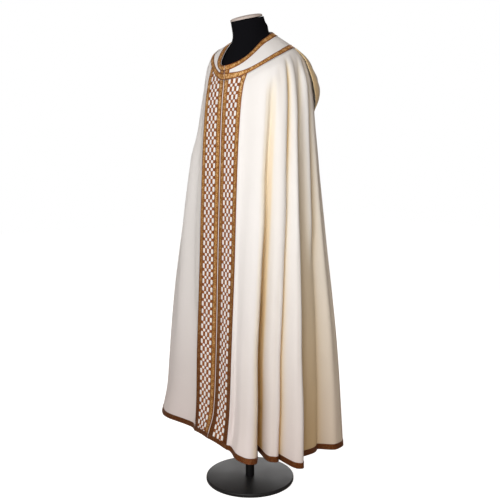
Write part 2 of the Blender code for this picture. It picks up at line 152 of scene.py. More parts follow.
RIDGE_ROUNDING, VALLEY_ROUNDING = 3.4, 2.0  # folds are rounded over this many columns of points
VALLEY_FROM = 1.5  # the shade times this is how much a place counts as valley

# Soft troughs (depth below 0) and low ridges laid on the folds. top and hem are angles from the front in
# degrees, first and last the distances along the cloth between which it shows, width its half width.
Crease = namedtuple("Crease", "top hem first last depth width")
CREASES = rows_of(Crease, left=(
    (75, 57, .16, .70, -.0072, .013),
    (64, 48, .34, 1.20, -.0030, .030),
    (51, 40, .16, .70, -.0026, .022),
    (83, 66, .12, .36, -.0030, .010),
    (93, 74, .11, .60, -.0062, .0075),
    (111, 75, .11, .56, -.0056, .0090),
    (103, 84, .30, .80, -.0040, .012),
    (112.4, 106.8, .13, .86, .0120, .015),
    (119.5, 115, .11, .85, -.0050, .0080),
    (99, 81, .70, 1.48, -.0026, .012),
    (88, 70, .80, 1.48, -.0024, .010),
    (61, 46, 1.00, 1.48, -.0028, .014),
    (127, 123, .45, 1.30, -.0035, .014),
    (135, 133, .60, 1.48, -.0030, .011),
    (129, 128, .11, .42, -.0040, .010),
    (145, 144, .33, .95, -.0036, .010),
    (152, 153, .70, 1.48, -.0030, .012),
    (165, 163, .34, 1.10, -.0034, .012),
    (172, 171, .80, 1.48, -.0026, .010),
), right=(
    (71, 60, .36, 1.48, .0120, .026),
    (62, 52, .14, .66, -.0040, .026),
    (48, 38, .42, 1.05, -.0030, .026),
    (74, 70, .24, 1.25, -.0038, .034),
    (80, 72, .10, .40, -.0050, .012),
    (58, 47, .95, 1.48, -.0035, .026),
    (88, 82, .12, .58, -.0045, .012),
    (99, 94, .50, 1.48, -.0030, .011),
    (90, 84, .80, 1.48, -.0030, .016),
    (108, 104, .10, .46, -.0060, .010),
    (118, 116, .45, 1.20, -.0032, .011),
    (127, 126, .70, 1.48, -.0030, .012),
    (139, 138, .33, 1.00, -.0036, .012),
    (147, 148, .75, 1.48, -.0030, .011),
    (160, 160, .34, 1.15, -.0034, .012),
    (170, 171, .60, 1.48, -.0028, .011),
))
HOOD_SHADE = (0.22, 0.76)  # painted shade: a little over most of the hood, and more where it turns in at the left shoulder
HOOD_TURN_FROM, HOOD_TURN = -0.72, 0.22  # where that starts, from -1 at the left edge, and how wide it is

# Folds sway a little sideways on their way down: degrees, wavelength along the cloth, and its start
SWAYS = ((0.5, 0.61, 0.4), (0.28, 0.33, 2.1))


# -------- the surface of the cloak

def steady_slopes(stops, values):
    """Slopes of a cubic through the values that never overshoots between two of them."""
    steps = np.diff(stops)
    rises = np.diff(values, axis=0) / steps[:, None]
    slopes = np.zeros_like(values)
    slopes[0], slopes[-1] = rises[0], rises[-1]
    for i in range(1, len(stops) - 1):
        before, after = rises[i - 1], rises[i]
        same_way = before * after > 0
        near, far = 2 * steps[i] + steps[i - 1], steps[i] + 2 * steps[i - 1]
        safe_before, safe_after = np.where(same_way, before, 1), np.where(same_way, after, 1)
        slopes[i] = np.where(same_way, (near + far) / (near / safe_before + far / safe_after), 0)
    return slopes


def steady_curve(stops, values, at):
    """The cubic of steady_slopes, read at several places at once."""
    slopes = steady_slopes(stops, values)
    i = np.clip(np.searchsorted(stops, at) - 1, 0, len(stops) - 2)
    step = (stops[i + 1] - stops[i])[:, None]
    u = (at - stops[i])[:, None] / step
    return ((1 + 2 * u) * (1 - u) ** 2 * values[i] + u * (1 - u) ** 2 * step * slopes[i]
            + u * u * (3 - 2 * u) * values[i + 1] + u * u * (u - 1) * step * slopes[i + 1])


STOPS = np.array([row.along for row in SECTIONS])
VALUES = np.array([row[1:] for row in SECTIONS])


def sections_at(along):
    """The rings at an array of distances along the cloth: one Section that holds arrays of that shape."""
    rows = steady_curve(STOPS, VALUES, along.reshape(-1))
    return Section(along, *(rows[:, i].reshape(along.shape) for i in range(rows.shape[1])))


def ring_radius(section, side, angle):
    half_width = section.left if side == "left" else section.right
    facing = np.cos(angle) > 0
    depth = np.where(facing, section.front, section.back)
    power = np.where(facing, section.front_power, section.back_power)
    return ((np.abs(np.sin(angle)) / half_width) ** power
            + (np.abs(np.cos(angle)) / depth) ** power) ** (-1 / power)


def ring_height(section, side, angle):
    across, forward = np.abs(np.sin(angle)), np.cos(angle)
    facing = forward > 0
    end = np.where(facing, section.z_front, section.z_back)
    focus, fade = np.where(facing, section.z_focus, 1), np.where(facing, 2, 4)
    beside, lean = ((section.z_left, section.lean_left) if side == "left"
                    else (section.z_right, section.lean_right))
    return beside + (end - beside) * np.abs(forward) ** (2 * focus) - lean * across ** fade * forward


def place(section, side, angle, out=0.0):
    """The points at some angles on some rings, moved out from the middle by a distance."""
    radius = ring_radius(section, side, angle) + out
    return np.stack((TURN[side] * radius * np.sin(angle), -radius * np.cos(angle),
                     ring_height(section, side, angle)), axis=-1)


def angles_of_line(section, side, distance, out=0.0):
    """The angles at which a line down the front lies this far from the middle plane."""
    angle = np.zeros_like(section.along)
    for _ in range(6):
        angle = np.arcsin(np.minimum(distance / (ring_radius(section, side, angle) + out), 0.99))
    return angle


def smooth_step(u):
    u = np.clip(u, 0, 1)
    return u * u * (3 - 2 * u)


def travelled(along):
    return np.clip((along - SEAM_AT) / (LENGTH - SEAM_AT), 0, 1)


def swung(line, along):
    """The angle in degrees of a fold or crease at a distance along the cloth."""
    return line.hem + (line.top - line.hem) * (1 - travelled(along)) ** FOLD_SWING


def key_places(side, section):
    """Angle, radial move and shade of the lines that carry the shape: rings down, lines across."""
    along = section.along
    forward = section.forward_left if side == "left" else section.forward_right
    depths = [forward * line / FRONT_LINES[-1] for line in FRONT_LINES]
    angles = [angles_of_line(section, side, line, fall) for line, fall in zip(FRONT_LINES, depths)]
    shades = [np.zeros_like(along) for _ in FRONT_LINES]
    for fold in FOLDS[side]:
        angles.append(np.radians(swung(fold, along)))
        grown = np.clip((along - fold.start) / (LENGTH - fold.start), 0, 1)
        depths.append(fold.depth * grown ** fold.power)
        shades.append(fold.shade * grown ** SHADE_POWER)
    return np.hstack(angles), np.hstack(depths), np.hstack(shades)


def lay_creases(side, section, angle):
    """How far the creases move the cloth at each point, and how much the narrow ones shade it, -1 to 1."""
    along, radius = section.along, ring_radius(section, side, angle)
    moved, shaded = np.zeros_like(angle), np.zeros_like(angle)
    for crease in CREASES[side]:
        aside = (angle - np.radians(swung(crease, along))) * radius / crease.width
        here = np.exp(-aside ** 2) * smooth_step((along - crease.first) / CREASE_RISE)
        if crease.last < LENGTH:
            here *= smooth_step((crease.last + CREASE_TAIL - along) / CREASE_FALL)
        moved += crease.depth * here
        shaded -= here * math.copysign((crease.depth / crease.width) ** 2, crease.depth)
    return moved, np.clip(shaded, -1, 1)


def rounded_across(points, amount):
    """The grid with its folds rounded: each point is a weighted mean of its neighbours along its row."""
    reach = int(math.ceil(3 * amount))
    weights = np.exp(-0.5 * (np.arange(-reach, reach + 1) / amount) ** 2)
    padded = np.pad(points, ((0, 0), (reach, reach), (0, 0)), mode="edge")
    total = sum(weight * padded[:, i:i + points.shape[1]] for i, weight in enumerate(weights))
    return total / weights.sum()


def cloak_points(side, alongs, keys):
    """Points of the cloak's outer face: a row for each distance, a column for each key line or part of one.

    Also gives how shaded by its fold each point is, from 0 to 1."""
    section = sections_at(alongs[:, None])
    key_angles, key_depths, key_shades = key_places(side, section)
    i = np.clip(np.floor(keys).astype(int), 0, key_angles.shape[1] - 2)
    share = keys - i
    ease = smooth_step(share)
    angle = key_angles[:, i] + (key_angles[:, i + 1] - key_angles[:, i]) * share
    depth = key_depths[:, i] + (key_depths[:, i + 1] - key_depths[:, i]) * ease
    near_shade, far_shade = key_shades[:, i], key_shades[:, i + 1]
    towards_darker = np.where(far_shade > near_shade, ease, 1 - ease) ** SHADE_NARROWING
    shade = np.minimum(near_shade, far_shade) + np.abs(far_shade - near_shade) * towards_darker
    last_line = key_angles[:, LAST_LINE:LAST_LINE + 1]
    radius = ring_radius(section, side, angle)
    free = smooth_step((angle - last_line) * radius / CREASE_FADE)
    free = free * smooth_step((math.pi - angle) * radius / CREASE_FADE)
    for sway, wavelength, start in SWAYS:
        swing = np.sin(2 * math.pi * section.along / wavelength + start)
        angle = angle + math.radians(sway) * swing * free * travelled(section.along)
    moved, shaded = lay_creases(side, section, angle)
    plain = place(section, side, angle, depth)
    if keys[-1] > len(FRONT_LINES):
        in_valley = np.clip(VALLEY_FROM * shade, 0, 1)[..., None]
        ridges, valleys = rounded_across(plain, RIDGE_ROUNDING), rounded_across(plain, VALLEY_ROUNDING)
        plain += (ridges + (valleys - ridges) * in_valley - plain) * free[..., None]
    outward = np.stack((TURN[side] * np.sin(angle), -np.cos(angle), np.zeros_like(angle)), axis=-1)
    points = plain + outward * (moved * free)[..., None]
    points[:, keys >= key_angles.shape[1] - 1, 0] = TURN[side] * SEAM_GAP / 2
    return points, np.clip(1 - (1 - shade) * (1 - shaded * free), 0, 1)


def steps_between(first, last, step):
    """Places from first to last, evenly spaced, about a step apart."""
    return np.linspace(first, last, max(2, int(round((last - first) / step)) + 1))


def key_columns(side, step):
    """Key places from the front edge to the middle of the back, about a step apart at the hem."""
    section = sections_at(np.array([[LENGTH]]))
    angles, depths, _ = key_places(side, section)
    corners = place(section, side, angles, depths)[0]
    columns = [np.zeros(1)]
    for i in range(len(corners) - 1):
        width = np.linalg.norm(corners[i + 1] - corners[i])
        columns.append(np.linspace(i, i + 1, max(2, int(math.ceil(width / step)) + 1))[1:])
    return np.concatenate(columns)


# -------- sheets of points

def grid_normals(points, side):
    down, across = np.gradient(points, axis=0), np.gradient(points, axis=1)
    normals = np.cross(down, across) * TURN[side]
    return normals / np.linalg.norm(normals, axis=2, keepdims=True)


def arc_lengths(points, axis):
    """Distance run along one axis of a grid of points, from its first line."""
    steps = np.linalg.norm(np.diff(points, axis=axis), axis=2)
    return np.insert(np.cumsum(steps, axis=axis), 0, 0, axis=axis)


def draw_in(points, amount):
    """The sheet with its four edges drawn in along its own rows and columns."""
    sheet = points.copy()
    for axis in (0, 1):
        lines = np.moveaxis(sheet, axis, 0)
        for edge, inner in ((0, 1), (-1, -2)):
            step = lines[inner] - lines[edge]
            lines[edge] += step * (amount / np.linalg.norm(step, axis=1))[:, None]
    return sheet


def add_object(name, data):
    made = bpy.data.objects.new(name, data)
    bpy.context.scene.collection.objects.link(made)
    return made


def add_piece(name, vertices, faces, material, marks=None):
    """A mesh piece; marks holds a vector at each vertex, which materials read as the attribute cloth."""
    mesh = bpy.data.meshes.new(name)
    mesh.from_pydata(np.asarray(vertices).reshape(-1, 3).tolist(), [], faces)
    if marks is not None:
        attribute = mesh.attributes.new("cloth", "FLOAT_VECTOR", "POINT")
        attribute.data.foreach_set("vector", np.asarray(marks, np.float32).reshape(-1))
    mesh.shade_smooth()
    mesh.materials.append(material)
    piece = add_object(name, mesh)
    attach(piece, "root")
    return piece


def grid_faces(rows, columns, side):
    a = (np.arange(rows - 1)[:, None] * columns + np.arange(columns - 1)[None, :]).reshape(-1)
    corners = (a, a + columns, a + columns + 1, a + 1)
    return np.stack(corners if side == "left" else corners[::-1], axis=1).tolist()


def add_sheet(name, points, side, material, marks, wall, outward=False):
    piece = add_piece(name, points, grid_faces(*points.shape[:2], side), material, marks)
    thickness = piece.modifiers.new("wall", "SOLIDIFY")
    thickness.thickness = wall
    thickness.offset = 1 if outward else -1
    return piece


def add_trim(name, points, side, material, profile, swap=False, sewn=None, level=False,
             most_gold_shade=GOLD_SHADE_AT_FLOOR):
    """A strip lying on the cloth. profile gives its relief from the place across it, 0 to 1, and along it.

    swap is for strips that run along the grid's rows. sewn collects the lines of stitches that hold its two
    long edges. level makes the rows of its pattern level."""
    normals = grid_normals(points, side)
    run, width = arc_lengths(points, 0), arc_lengths(points, 1)
    if swap:
        run, width = width, run
    elif level:
        middle = points.shape[1] // 2
        run = level_run(points[..., 2], points[:, middle, 2], run[:, middle])
    across = width / (width[-1:, :] if swap else width[:, -1:])
    relief = profile(across, run)
    # painted shade: the gold is darkened more the nearer it hangs to the floor
    gold_shade = most_gold_shade * smooth_step((GOLD_SHADE_FROM - points[..., 2]) / GOLD_SHADE_FROM)
    marks = np.stack((across, run, gold_shade), axis=-1)
    raised = draw_in(points, SEAM_GAP / 2) + normals * SEAM_GAP
    piece = add_sheet(name, raised, side, material, marks, BRAID_WALL, outward=True)
    top = raised + normals * relief[..., None]
    piece.data.vertices.foreach_set("co", top.astype(np.float32).reshape(-1))
    if sewn is not None:
        for share in (STITCH_INSET, 1 - STITCH_INSET):
            sewn.append([line_at_share(grid, share, swap) for grid in (top + normals * BRAID_WALL, normals)])
    return piece


def level_run(heights, middle_heights, middle_run):
    """How far down the strip's middle line each height lies, carried on past both its ends.
"""
    top, bottom = middle_heights[0], middle_heights[-1]
    within = np.interp(-heights, -middle_heights, middle_run)
    slope = middle_run[-1] / (top - bottom)
    beyond = np.minimum(top - heights, 0) + np.maximum(bottom - heights, 0)
    return within + slope * beyond + TALL_ROW + SHORT_ROW


def line_at_share(grid, share, swap):
    """The line along a strip's grid that lies at a share of its width."""
    lines = grid if swap else np.moveaxis(grid, 1, 0)
    at = share * (len(lines) - 1)
    i = int(at)
    return lines[i] + (lines[i + 1] - lines[i]) * (at - i)


# A stitch's outline: the share of its length, of its half width and of its height at each of its corners
STITCH_CORNERS = ((0.0, 0, 0.1), (0.25, -1, 0), (0.25, 0, 1), (0.25, 1, 0),
                  (0.75, -1, 0), (0.75, 0, 1), (0.75, 1, 0), (1.0, 0, 0.1))
STITCH_FACES = ((0, 2, 1), (0, 3, 2), (0, 1, 3), (1, 2, 5, 4), (2, 3, 6, 5), (3, 1, 4, 6),
                (7, 4, 5), (7, 5, 6), (7, 6, 4))


def make_stitches(sewn, thread):
    """All the stitches that hold the gallons down, as one piece."""
    vertices, faces = [], []
    corners = np.array(STITCH_CORNERS)
    for line, normals in sewn:
        steps = np.linalg.norm(np.diff(line, axis=0), axis=1)
        run = np.concatenate(([0.0], np.cumsum(steps)))
        starts = np.arange(STITCH_PITCH, run[-1] - STITCH_PITCH, STITCH_PITCH)
        at = starts[:, None] + corners[None, :, 0] * STITCH_LENGTH
        middle, normal = (np.stack([np.interp(at, run, values[:, i]) for i in range(3)], axis=-1)
                          for values in (line, normals))
        tangent = middle[:, -1:] - middle[:, :1]
        aside = np.cross(tangent, normal)
        aside /= np.linalg.norm(aside, axis=2, keepdims=True)
        points = (middle + aside * (corners[:, 1:2] * STITCH_HALF_WIDTH)
                  + normal * (corners[:, 2:] * STITCH_HEIGHT))
        for stitch in points:
            base = len(vertices) * len(corners)
            vertices.append(stitch)
            faces += [tuple(base + corner for corner in face) for face in STITCH_FACES]
    piece = add_piece("gallon_stitches", np.array(vertices), faces, thread)


# -------- materials

def new_material(name, **settings):
    """A material and its shader node, with constants set on the node's sockets."""
    material = bpy.data.materials.new(name)
    material.use_nodes = True
    shader = material.node_tree.nodes["Principled BSDF"]
    for setting, value in settings.items():
        shader.inputs[setting.replace("_", " ")].default_value = value
    return material, shader


def add_node(kind, *values):
    """A new node in the tree of whichever of the values is a node or a socket."""
    tree = next(value.id_data for value in values if hasattr(value, "id_data"))
    return tree.nodes.new(kind)


def feed(socket, value):
    """Links a socket, or sets a number or colour on it."""
    if isinstance(value, bpy.types.NodeSocket):
        socket.id_data.links.new(value, socket)
    else:
        socket.default_value = value


def maths(operation, *values):
    made = add_node("ShaderNodeMath", *values)
    made.operation = operation
    for socket, value in zip(made.inputs, values):
        feed(socket, value)
    return made.outputs[0]


def plus(first, second):
    return maths("ADD", first, second)


def minus(first, second):
    return maths("SUBTRACT", first, second)


def times(first, second):
    return maths("MULTIPLY", first, second)


def scaled(value, factor, offset):
    """The value times a factor, plus an offset."""
    return maths("MULTIPLY_ADD", value, factor, offset)


def clamped(result):
    """The same result, held between 0 and 1."""
    result.node.use_clamp = True
    return result


def blend(share, first, second):
    made = add_node("ShaderNodeMix", share)
    made.data_type = "RGBA"
    for name, value in zip(("Factor", "A", "B"), (share, first, second)):
        feed(made.inputs[name], value)
    return made.outputs["Result"]


def noise(vector, scale, detail=2.0, roughness=0.5):
    made = add_node("ShaderNodeTexNoise", vector)
    for name, value in zip(("Vector", "Scale", "Detail", "Roughness"), (vector, scale, detail, roughness)):
        feed(made.inputs[name], value)
    return made.outputs["Fac"]


def paint(shader, colour):
    feed(shader.inputs["Base Color"], colour)


def bump(shader, height, distance, strength=1.0):
    made = add_node("ShaderNodeBump", shader)
    for name, value in zip(("Distance", "Strength", "Height"), (distance, strength, height)):
        feed(made.inputs[name], value)
    feed(shader.inputs["Normal"], made.outputs["Normal"])


def split_up(vector):
    split = add_node("ShaderNodeSeparateXYZ", vector)
    feed(split.inputs["Vector"], vector)
    return split.outputs[:]


def cloth_marks(shader):
    """The three numbers that each point of a cloth piece carries."""
    read = add_node("ShaderNodeAttribute", shader)
    read.attribute_name = "cloth"
    return split_up(read.outputs["Vector"])


def object_place(shader):
    return add_node("ShaderNodeTexCoord", shader).outputs["Object"]


def seen_by_camera(node):
    return add_node("ShaderNodeLightPath", node).outputs["Is Camera Ray"]


def height_of(vector):
    return split_up(vector)[2]


def wave(value, pitch):
    """A sine from 0 to 1 that repeats at a pitch."""
    return scaled(maths("SINE", times(value, 2 * math.pi / pitch)), 0.5, 0.5)


# Cream wool: clean, worn, painted shade towards the floor, painted shade in a fold, that painted shade
# towards the floor, and the deepest painted shade
CREAM = (.89, .868, .85, 1)
CREAM_WORN = (.82, .797, .768, 1)
CREAM_FLOOR_SHADE = (.77, .655, .63, 1)
CREAM_SHADED = (.9, .765, .5, 1)
CREAM_SHADED_LOW = (.54, .44, .29, 1)
CREAM_DEEP = (.9, .53, .1, 1)
# painted highlight colour of the gold's glints
GOLD_GLINT = (1.0, .72, .36, 1)
GOLD_LIGHT = (.93, .5, .155, 1)
GOLD_DARK = (.32, .11, .024, 1)
GOLD_EDGE = (.36, .106, .02, 1)
# painted shade colour that the gold darkens to near the floor
GOLD_FLOOR_SHADE = (.12, .027, .006, 1)
CORD_BROWN = (.16, .045, .009, 1)
RUST = (.36, .1, .018, 1)
RUST_DARK = (.14, .033, .007, 1)
CHECK_WHITE, CHECK_CREAM = (.95, .92, .89, 1), (.66, .55, .45, 1)
THREAD_DARK, THREAD_LIGHT = (.3, .14, .05, 1), (.62, .38, .17, 1)
JERSEY_DARK, JERSEY_LIGHT = (.002, .002, .003, 1), (.007, .007, .009, 1)
CAP_DARK, CAP_LIGHT = (.42, .35, .31, 1), (.66, .58, .54, 1)
STEEL_DARK, STEEL_LIGHT = (.018, .018, .02, 1), (.04, .039, .04, 1)
FLOOR_DARK, FLOOR_LIGHT = (.46, .43, .4, 1), (.5, .47, .44, 1)
FLOOR_GLOW = 0.92

WOOL_FLOOR_SHADE_FROM = 1.1  # painted shade: the wool is painted darker and warmer from this height down, as the light falls off towards the floor
THROAT_HEIGHT, THROAT_REACH = 1.405, 0.075  # painted highlight: the gold is painted brightest at this height, fading out over this reach

# Pitches of what is woven, in metres
TWILL_PITCH, YARN_PITCH = 0.0016, 0.0011
CHEVRON_PITCH, CHEVRON_LEAN = 0.0068, 0.014
RIB_PITCH = 0.0012
TWIST_PITCH, TWIST_LEAN = 0.0024, 0.02
WEFT_PITCH, WARP_PITCH = 0.0017, 0.0009
BORDER_FROM, CORD_FROM = 0.31, 0.45  # shares of the braid's width, from its middle line
CHECK_COLUMNS = 5
TALL_ROW, SHORT_ROW = 0.0167, 0.01


def wool_material():
    """Cream wool twill: marks are the place on the flat cloth, in metres, and how shaded its fold is."""
    material, shader = new_material("wool_twill", Roughness=0.85, Sheen_Weight=0.15,
                                    Sheen_Roughness=0.5, Specular_IOR_Level=0.3)
    along, aside, shade = cloth_marks(shader)
    place_on = object_place(shader)
    twill = wave(plus(along, aside), TWILL_PITCH)
    yarn = wave(minus(along, aside), YARN_PITCH)
    nap = noise(place_on, 420, 3, 0.6)
    cloud = noise(place_on, 6, 3)
    height = plus(times(twill, 0.55), plus(times(yarn, 0.25), times(nap, 0.5)))
    bump(shader, height, 0.00035, 0.8)
    # painted shade: the cream turns darker and warmer towards the floor, where the light falls off
    fallen = clamped(scaled(height_of(place_on), -1 / WOOL_FLOOR_SHADE_FROM, 1))
    lower = times(fallen, fallen)
    clean = scaled(cloud, 0.5, scaled(height, 0.12, 0.55))
    plain = blend(lower, blend(clean, CREAM_WORN, CREAM), CREAM_FLOOR_SHADE)
    # painted shade: the folds' shade mark darkens and warms the cream, most in the deepest valleys
    tinted = blend(shade, plain, blend(lower, CREAM_SHADED, CREAM_SHADED_LOW))
    paint(shader, blend(maths("POWER", shade, 3), tinted, CREAM_DEEP))
    return material


def gallon_material():
    """Gold braid: marks are the place across it, 0 to 1, along it in metres, and how much painted shade
    darkens it.
    """
    material, shader = new_material("gallon_braid", Roughness=0.42, Metallic=0.5,
                                    Specular_IOR_Level=0.2)
    across, along, gold_floor_shade = cloth_marks(shader)
    place_on = object_place(shader)
    aside = maths("ABSOLUTE", minus(across, 0.5))
    chevron = wave(plus(along, times(aside, CHEVRON_LEAN)), CHEVRON_PITCH)
    rib = wave(along, RIB_PITCH)
    fleck = noise(place_on, 330, 2, 0.7)
    patch = noise(place_on, 130, 2, 0.6)
    twist = wave(plus(along, times(across, TWIST_LEAN)), TWIST_PITCH)
    patchy = scaled(fleck, 0.45, scaled(patch, 2.4, -1.14))
    shine = clamped(scaled(chevron, 0.45, patchy))
    from_throat = minus(height_of(place_on), THROAT_HEIGHT)
    throat_highlight = clamped(scaled(maths("ABSOLUTE", from_throat), -1 / THROAT_REACH, 1))
    # painted highlight: glints in random patches of the braid, strongest near the throat
    glint = clamped(scaled(minus(patch, 0.55), 5, times(throat_highlight, 0.5)))
    ground = blend(glint, blend(shine, GOLD_DARK, GOLD_LIGHT), GOLD_GLINT)
    border = blend(times(fleck, 1.1), GOLD_EDGE, GOLD_DARK)
    cord = blend(times(twist, 0.6), CORD_BROWN, GOLD_EDGE)
    bordered = blend(maths("GREATER_THAN", aside, BORDER_FROM), ground, border)
    fresh = blend(maths("GREATER_THAN", aside, CORD_FROM), bordered, cord)
    # painted shade: the gold darkens towards the floor
    paint(shader, blend(gold_floor_shade, fresh, GOLD_FLOOR_SHADE))
    relief = plus(times(chevron, 0.5), plus(times(rib, 0.35), times(fleck, 0.3)))
    bump(shader, relief, 0.00045, 0.9)
    return material


def off_middle(share, power):
    """0 in the middle of a block and 1 at its edges, flatter in between at a higher power."""
    return maths("POWER", maths("ABSOLUTE", scaled(share, 2, -1)), power)


def band_material():
    """Woven check: rows of three tall white blocks take turns with rows of two short ones on rust."""
    material, shader = new_material("check_band", Roughness=0.7, Specular_IOR_Level=0.2)
    across, along, _ = cloth_marks(shader)
    column = times(across, CHECK_COLUMNS)
    column_even = maths("LESS_THAN", maths("MODULO", maths("FLOOR", column), 2), 0.5)
    step = maths("MODULO", along, TALL_ROW + SHORT_ROW)
    tall = maths("LESS_THAN", step, TALL_ROW)
    white_here = maths("COMPARE", column_even, tall, 0.5)
    in_tall = maths("DIVIDE", step, TALL_ROW)
    in_short = maths("DIVIDE", minus(step, TALL_ROW), SHORT_ROW)
    down = plus(times(in_tall, tall), times(in_short, minus(1, tall)))
    corner = plus(off_middle(maths("FRACT", column), 5), off_middle(down, 6))
    white = times(white_here, maths("LESS_THAN", corner, 0.75))
    weft = wave(along, WEFT_PITCH)
    warp = wave(times(across, BAND), WARP_PITCH)
    fleck = noise(object_place(shader), 300, 2, 0.7)
    gilt = times(maths("GREATER_THAN", fleck, 0.58), weft)
    ground = blend(times(fleck, 1.2), RUST_DARK, RUST)
    gilded = blend(times(gilt, 0.45), ground, GOLD_LIGHT)
    pale = blend(times(warp, 0.1), CHECK_WHITE, CHECK_CREAM)
    paint(shader, blend(white, gilded, pale))
    bump(shader, plus(times(weft, 0.6), times(warp, 0.4)), 0.0004, 0.8)
    return material


def thread_material():
    material, shader = new_material("sewing_thread", Roughness=0.55, Sheen_Weight=0.2)
    paint(shader, blend(noise(object_place(shader), 900, 1), THREAD_DARK, THREAD_LIGHT))
    return material


def jersey_material():
    material, shader = new_material("black_jersey", Roughness=0.95, Specular_IOR_Level=0.06)
    knit = noise(object_place(shader), 900, 1)
    paint(shader, blend(knit, JERSEY_DARK, JERSEY_LIGHT))
    bump(shader, knit, 0.0004, 0.6)
    return material


def cap_material():
    material, shader = new_material("pale_cap", Roughness=0.6)
    place_on = object_place(shader)
    paint(shader, blend(noise(place_on, 45, 4, 0.65), CAP_DARK, CAP_LIGHT))
    bump(shader, noise(place_on, 400, 3), 0.0003, 0.5)
    return material


def steel_material():
    material, shader = new_material("dark_steel", Metallic=0.6)
    place_on = object_place(shader)
    grain = noise(place_on, 260, 3, 0.6)
    wear = noise(place_on, 9, 3)
    paint(shader, blend(wear, STEEL_DARK, STEEL_LIGHT))
    feed(shader.inputs["Roughness"], scaled(wear, 0.25, 0.3))
    bump(shader, grain, 0.0002, 0.35)
    return material


def floor_material():
    """Near white, and a little brighter to the eye than to the cloth it lights."""
    material, shader = new_material("pale_floor", Roughness=0.8, Specular_IOR_Level=0.2)
    paint(shader, blend(noise(object_place(shader), 2, 2), FLOOR_DARK, FLOOR_LIGHT))
    shader.inputs["Emission Color"].default_value = (1, 1, 1, 1)
    feed(shader.inputs["Emission Strength"], times(seen_by_camera(shader), FLOOR_GLOW))
    return material


# -------- pieces of the cope

def flat_marks(points, alongs, depth):
    """Each point's place on the flat cloth it was cut from, and how much painted shade its fold gives it."""
    turn = arc_lengths(points[-1:], 1) / (LENGTH + FLAT_NECK)
    reach = alongs[:, None] + FLAT_NECK
    return np.stack((reach * np.cos(turn), reach * np.sin(turn), depth), axis=-1)


def make_body(side, wool):
    alongs = steps_between(BODY_TOP, LENGTH, BODY_ROW_STEP)
    keys = key_columns(side, BODY_COLUMN_STEP)
    # depth here is the painted shade of each point's fold, from 0 to 1
    points, depth = cloak_points(side, alongs, keys)
    piece = add_sheet(f"cope_body_{side}", points, side, wool, flat_marks(points, alongs, depth), WOOL_WALL)
    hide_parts(f"body_{side}")
    return keys


CORD_AT, CORD_WIDTH, CORD_HEIGHT = 0.065, 0.055, 0.00042  # the first two as shares of the braid's width
WHITE_HEIGHT, RUST_HEIGHT = 0.00055, 0.00015


def flat_braid(across, run):
    """Raised cords along both edges."""
    near, far = (across - CORD_AT) / CORD_WIDTH, (across - (1 - CORD_AT)) / CORD_WIDTH
    return CORD_HEIGHT * (np.exp(-near ** 2) + np.exp(-far ** 2))


def check_relief(across, run):
    """The white blocks stand proud of the ground."""
    column = np.clip(across, 0, 0.9999) * CHECK_COLUMNS
    step = np.mod(run, TALL_ROW + SHORT_ROW)
    tall = step < TALL_ROW
    down = np.where(tall, step / TALL_ROW, (step - TALL_ROW) / SHORT_ROW)
    white = (np.floor(column) % 2 == 0) == tall
    sideways = column - np.floor(column)
    pillow = (1 - np.abs(2 * sideways - 1) ** 4) * (1 - np.abs(2 * down - 1) ** 4)
    return pillow * np.where(white, WHITE_HEIGHT, RUST_HEIGHT)


def make_orphrey(side, gallon, check, sewn):
    """The woven band between two gallons, down the front from the yoke to the hem gallon."""
    braid = (GALLON_COLUMNS, TRIM_ROW_STEP, gallon, flat_braid, "gold_gallon")
    weave = (BAND_COLUMNS, BAND_ROW_STEP, check, check_relief, "check_band")
    for name, first, last, kind in (("inner_gallon", INNER_REACH, 2, braid), ("band", 2, 4, weave),
                                    ("outer_gallon", 4, 5, braid)):
        columns, step, material, profile, slot = kind
        alongs = steps_between(BODY_TOP, LENGTH - GALLON, step)
        points, _ = cloak_points(side, alongs, np.linspace(first, last, columns))
        # the right inner gallon gets less painted shade towards the floor
        less_gold_shade = name == "inner_gallon" and side == "right"
        piece = add_trim(f"{name}_{side}", points, side, material, profile, level=kind is weave,
                         sewn=sewn if kind is braid else None, most_gold_shade=RIGHT_INNER_GOLD_SHADE if less_gold_shade else GOLD_SHADE_AT_FLOOR)
        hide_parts(f"orphrey_{name}_{side}")


def make_hem_gallon(side, keys, gallon, sewn):
    alongs = np.linspace(LENGTH - GALLON, LENGTH, GALLON_COLUMNS)
    points, _ = cloak_points(side, alongs, keys)
    piece = add_trim(f"hem_braid_{side}", points, side, gallon, flat_braid, swap=True, sewn=sewn)
    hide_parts(f"hem_gallon_{side}")


def yoke_half(side, shares, keys):
    """Points of half the yoke. shares holds how far down each point lies, from the neckline to the seam."""
    seam, top = sections_at(np.array([[SEAM_AT]])), sections_at(np.array([[0.0]]))
    seam_keys = key_places(side, seam)[0][0]
    top_keys = seam_keys.copy()
    for i, line in enumerate(FRONT_LINES[:3]):
        top_keys[i] = angles_of_line(top, side, line)[0, 0]
    whole = np.arange(len(seam_keys))
    seam_angle, top_angle = np.interp(keys, whole, seam_keys), np.interp(keys, whole, top_keys)
    section = sections_at(shares * SEAM_AT)
    return place(section, side, top_angle + (seam_angle - top_angle) * shares)


def yoke_rows(side, keys, count, part_of):
    """The same in some rows over a part of each column, from 0 to 1. part_of gives its two ends from the
    share of the column that a gallon takes up."""
    ends = yoke_half(side, np.repeat([[0.0], [1.0]], len(keys), axis=1), keys)
    first, last = part_of(GALLON / np.linalg.norm(ends[1] - ends[0], axis=1))
    return yoke_half(side, first + (last - first) * np.linspace(0, 1, count)[:, None], keys)


def yoke_grid(count, part_of):
    """Both halves joined: from the left front, round the back, to the right front."""
    left, right = (yoke_rows(side, yoke_keys(side), count, part_of) for side in TURN)
    left[:, -1, 0] = 0.0
    return np.concatenate((left, right[:, -2::-1]), axis=1)


def yoke_keys(side):
    """Key places round half the yoke, finer in front where its edge turns."""
    front = np.linspace(0, LAST_LINE, 5 * LAST_LINE)
    folds = len(FOLDS[side])
    return np.concatenate((front, np.linspace(LAST_LINE, LAST_LINE + folds, 5 * folds + 1)[1:]))


